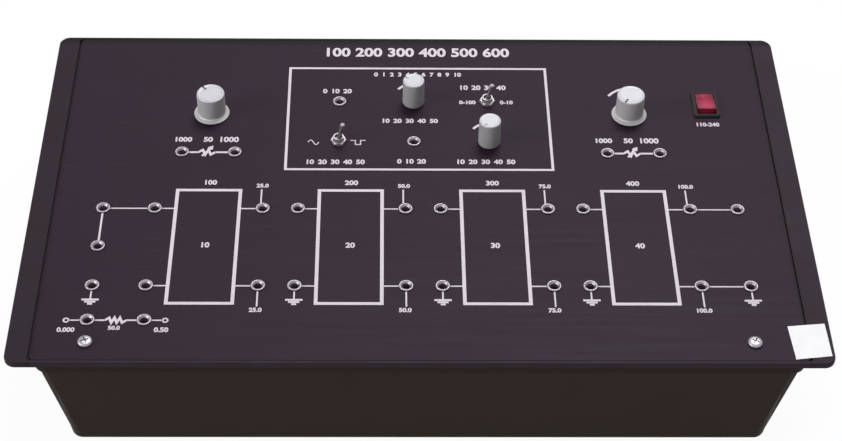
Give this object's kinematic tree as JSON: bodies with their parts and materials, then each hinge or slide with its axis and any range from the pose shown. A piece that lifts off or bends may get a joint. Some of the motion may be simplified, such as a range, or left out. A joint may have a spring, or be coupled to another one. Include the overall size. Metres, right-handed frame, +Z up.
{
  "type": "communications trainer",
  "caption": "Bench trainer for transmission lines: a drafted plastic case with side wings, a dark printed panel, laboratory sockets, satin knobs, toggles and a red rocker switch.",
  "frame": {"origin": "centre of the footprint, on the surface that the rubber feet stand on", "axes": "+X to the user's right along the panel, +Y to the back, +Z up"},
  "size_m": [0.42, 0.255, 0.0926],
  "materials": {
    "case_plastic": "grained black-brown moulded plastic",
    "panel_print": "satin dark laminate, printed in white",
    "catch_steel": "zinc-plated folded sheet",
    "screw_steel": "zinc-plated",
    "socket_nickel": "satin nickel plate",
    "switch_nickel": "bright nickel plate",
    "lever_nickel": "bright nickel plate",
    "knob_satin": "satin anodised",
    "shaft_brass": "turned",
    "can_metal": "pressed and plated",
    "contact_brass": "tinned",
    "pot_plastic": "moulded blue",
    "bezel_black": "moulded black, satin gloss",
    "rocker_red": "clear red moulding",
    "board_laminate": "green solder mask",
    "chip_black": "moulded epoxy",
    "capacitor_sleeve": "shrunk sleeve",
    "transformer_block": "potted block",
    "fuse_glass": "glass tube with plated caps",
    "coax_jacket": "extruded PVC jacket",
    "tie_nylon": "natural nylon",
    "inlet_black": "moulded black",
    "foot_rubber": "soft black rubber"
  },
  "bodies": {
    "root": {"case_tub": "case_plastic", "front_panel": "panel_print", "panel_catches": "catch_steel", "panel_screws": "screw_steel", "signal_sockets": "socket_nickel", "return_sockets": "socket_nickel", "terminal_sockets": "socket_nickel", "resistor_nuts": "switch_nickel", "toggle_nuts": "switch_nickel", "resistor_bodies": "can_metal", "resistor_lugs": "contact_brass", "board_pot_bodies": "pot_plastic", "waveform_toggle": "switch_nickel", "range_toggle": "switch_nickel", "power_bezel": "bezel_black", "power_terminals": "contact_brass", "generator_board": "board_laminate", "generator_chips": "chip_black", "generator_capacitors": "capacitor_sleeve", "supply_board": "board_laminate", "mains_transformer": "transformer_block", "supply_capacitors": "capacitor_sleeve", "supply_fuse": "fuse_glass", "fuse_clips": "contact_brass", "line_coils": "coax_jacket", "coil_ties": "tie_nylon", "mains_inlet": "inlet_black", "inlet_pins": "contact_brass", "rubber_feet": "foot_rubber"},
    "source_control": {"source_knob": "knob_satin", "source_shaft": "shaft_brass"},
    "load_control": {"load_knob": "knob_satin", "load_shaft": "shaft_brass"},
    "amplitude_control": {"amplitude_knob": "knob_satin", "amplitude_shaft": "shaft_brass"},
    "frequency_control": {"frequency_knob": "knob_satin", "frequency_shaft": "shaft_brass"},
    "waveform_lever_body": {"waveform_lever": "lever_nickel"},
    "range_lever_body": {"range_lever": "lever_nickel"},
    "power_rocker_body": {"power_rocker": "rocker_red"}
  },
  "joints": [
    {"name": "source_turn", "type": "hinge", "parent": "root", "child": "source_control", "pos_m": [-0.1167, 0.0602, 0.076], "axis": [0, 0, 1], "range_deg": [-191, 109]},
    {"name": "load_turn", "type": "hinge", "parent": "root", "child": "load_control", "pos_m": [0.1204, 0.0602, 0.076], "axis": [0, 0, 1], "range_deg": [-300, 0]},
    {"name": "amplitude_turn", "type": "hinge", "parent": "root", "child": "amplitude_control", "pos_m": [-0.0023, 0.0707, 0.076], "axis": [0, 0, 1], "range_deg": [-213, 87]},
    {"name": "frequency_turn", "type": "hinge", "parent": "root", "child": "frequency_control", "pos_m": [0.0399, 0.0371, 0.076], "axis": [0, 0, 1], "range_deg": [-300, 0]},
    {"name": "waveform_tilt", "type": "hinge", "parent": "root", "child": "waveform_lever_body", "pos_m": [-0.0445, 0.0371, 0.0776], "axis": [0, 1, 0], "range_deg": [-25, 0]},
    {"name": "range_tilt", "type": "hinge", "parent": "root", "child": "range_lever_body", "pos_m": [0.0399, 0.0707, 0.0776], "axis": [0, 1, 0], "range_deg": [-25, 0]},
    {"name": "power_rock", "type": "hinge", "parent": "root", "child": "power_rocker_body", "pos_m": [0.1649, 0.0685, 0.0762], "axis": [1, 0, 0], "range_deg": [0, 20]}
  ]
}
